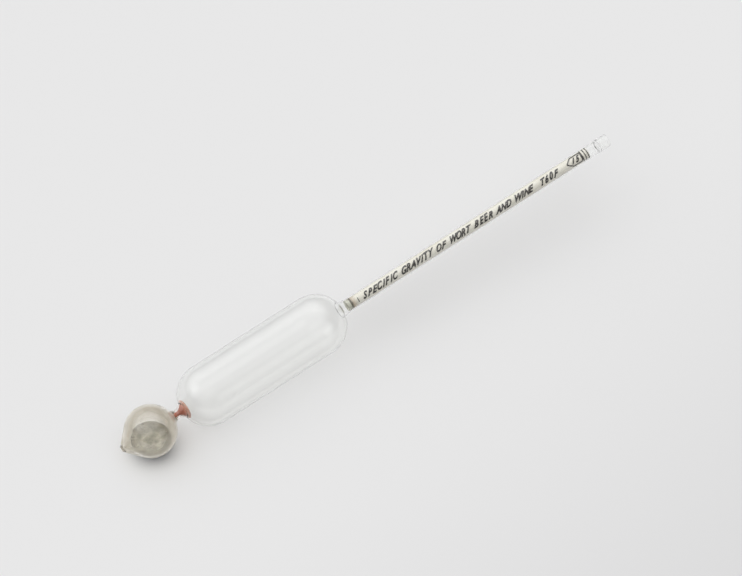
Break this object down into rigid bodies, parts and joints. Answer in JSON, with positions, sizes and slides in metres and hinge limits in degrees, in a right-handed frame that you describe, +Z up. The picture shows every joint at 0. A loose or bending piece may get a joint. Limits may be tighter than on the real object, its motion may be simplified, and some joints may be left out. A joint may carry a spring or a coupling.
{
  "type": "hydrometer",
  "caption": "Hand-blown glass hydrometer with a capsule float, mercury-weighted bulb, wax-plugged neck and a thin stem that holds a rolled paper scale below a glass septum.",
  "frame": {"origin": "on the surface the hydrometer lies on, under the middle of its length and on its centre line", "axes": "+X along the object from the drawn tail to the stem's end, +Z up; the long axis itself climbs 3.78 degrees towards the stem"},
  "size_m": [0.2448, 0.026, 0.0295],
  "materials": {
    "blown_glass": "polished",
    "sealing_wax": "satin",
    "mercury": "polished",
    "scale_paper": "matte",
    "dark_cement": "satin"
  },
  "bodies": {
    "hydrometer": {"bulb_glass": "blown_glass", "neck_glass": "blown_glass", "float_glass": "blown_glass", "stem_glass": "blown_glass", "septum_glass": "blown_glass", "wax_plug": "sealing_wax", "scale_paper": "scale_paper", "scale_cement": "dark_cement"},
    "ballast": {"mercury_ballast": "mercury"}
  },
  "joints": [
    {"name": "ballast_swing", "type": "hinge", "parent": "hydrometer", "child": "ballast", "pos_m": [-0.10742, 0, 0.0111], "axis": [0, 1, 0], "range_deg": [-93.78, 86.22]}
  ]
}
